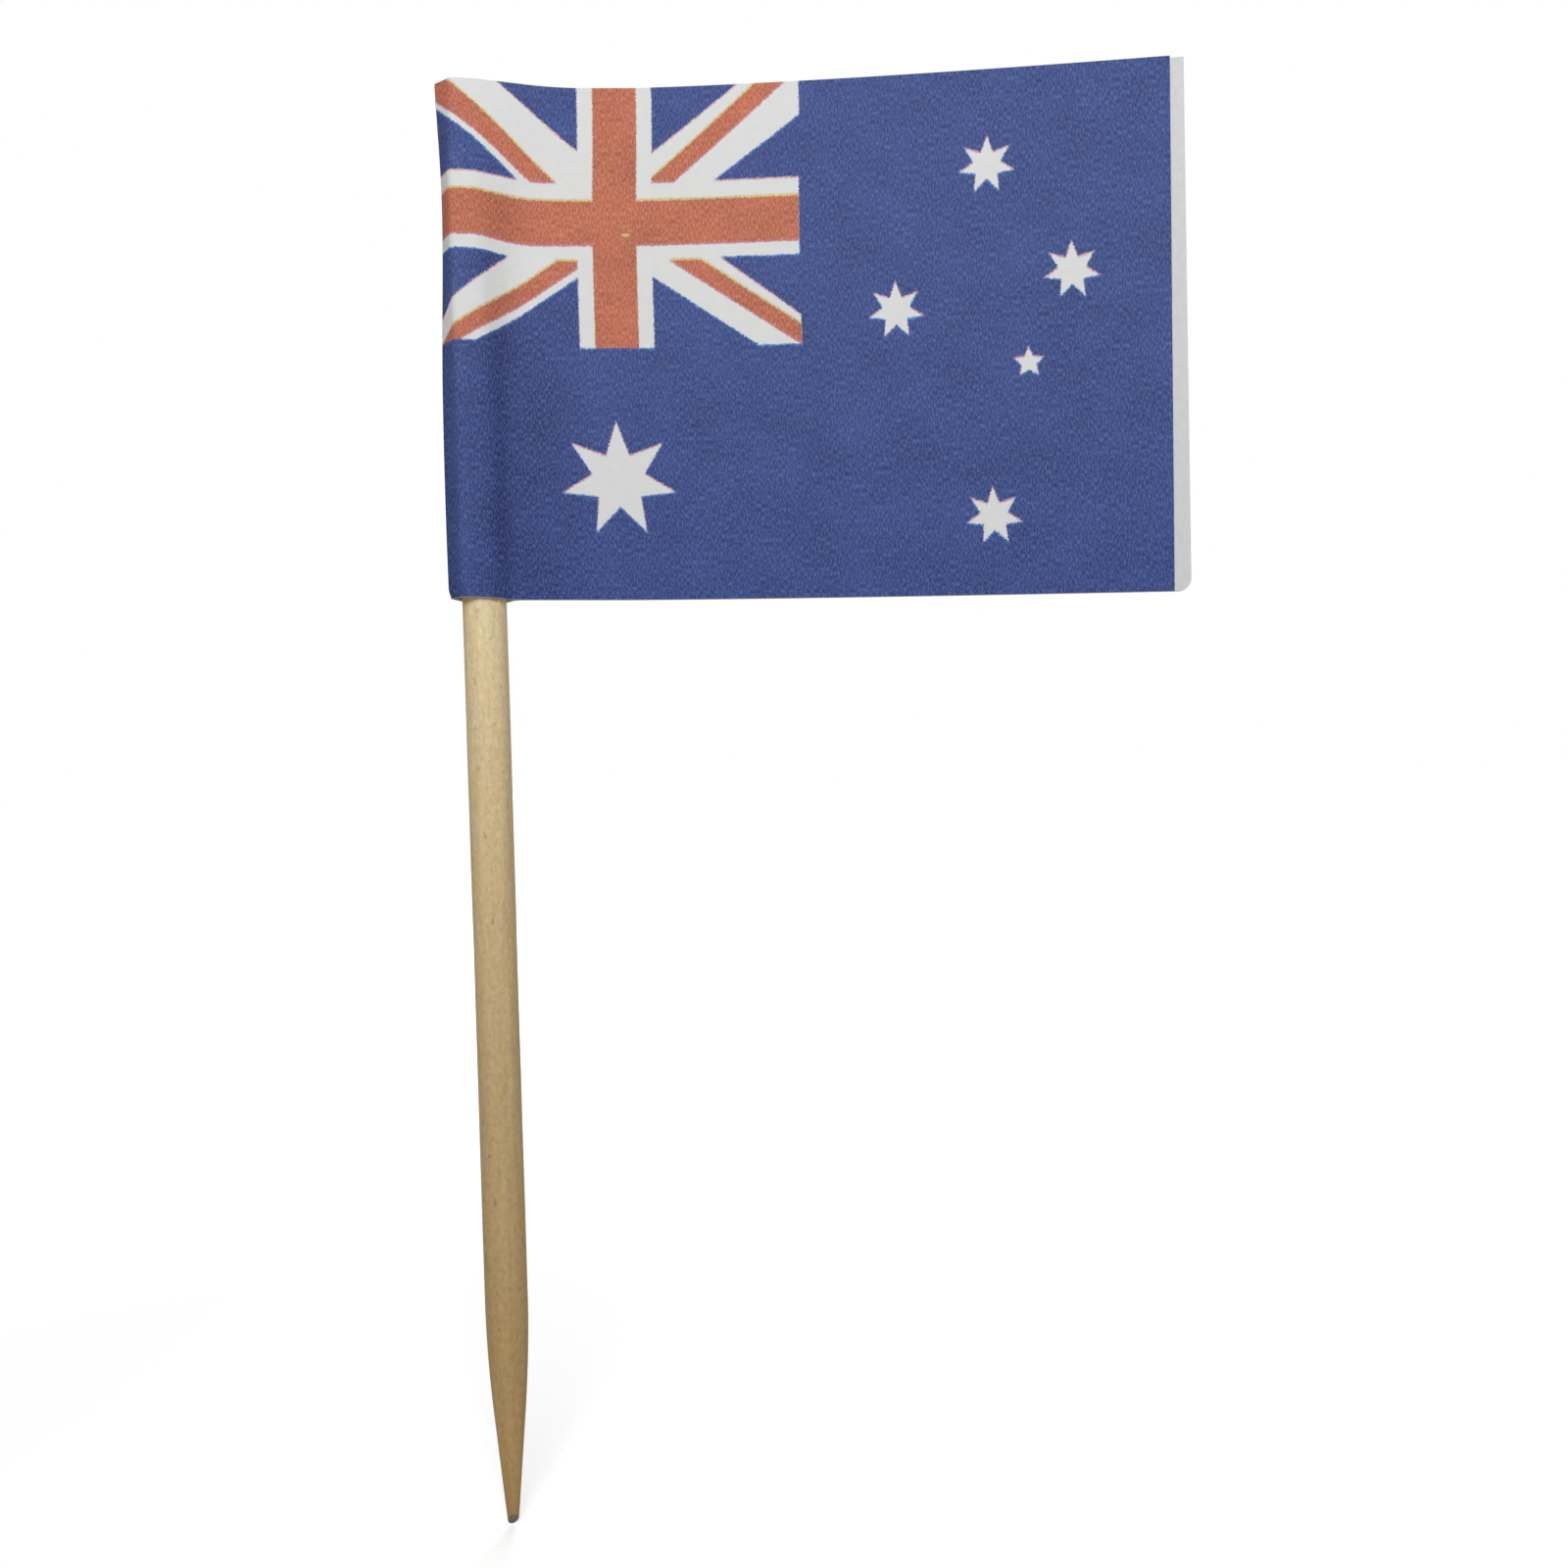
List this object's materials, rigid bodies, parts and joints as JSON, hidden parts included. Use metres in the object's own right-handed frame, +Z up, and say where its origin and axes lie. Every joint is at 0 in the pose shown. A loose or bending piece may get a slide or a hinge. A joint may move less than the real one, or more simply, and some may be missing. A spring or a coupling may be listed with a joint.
{
  "type": "flag food pick",
  "caption": "Pointed wooden food pick with a printed paper flag folded round its upper end and glued, its free end curling forward.",
  "frame": {"origin": "middle of the stick's blunt tip", "axes": "+Z up the stick, from the tip to the flag; -Y out of the flag's printed front; +X from the stick to the flag's free end"},
  "size_m": [0.0358, 0.0046, 0.0712],
  "materials": {
    "wood": "raw, fine straight grain, slightly darker towards the point",
    "printed_paper": "uncoated thin paper, printed on its outer face in blue, red and the paper's own white",
    "adhesive": "dried white paper glue"
  },
  "bodies": {
    "root": {"pick": "wood", "paper_flag": "printed_paper", "leaf_glue": "adhesive", "pick_glue_front": "adhesive", "pick_glue_back": "adhesive"}
  },
  "joints": []
}
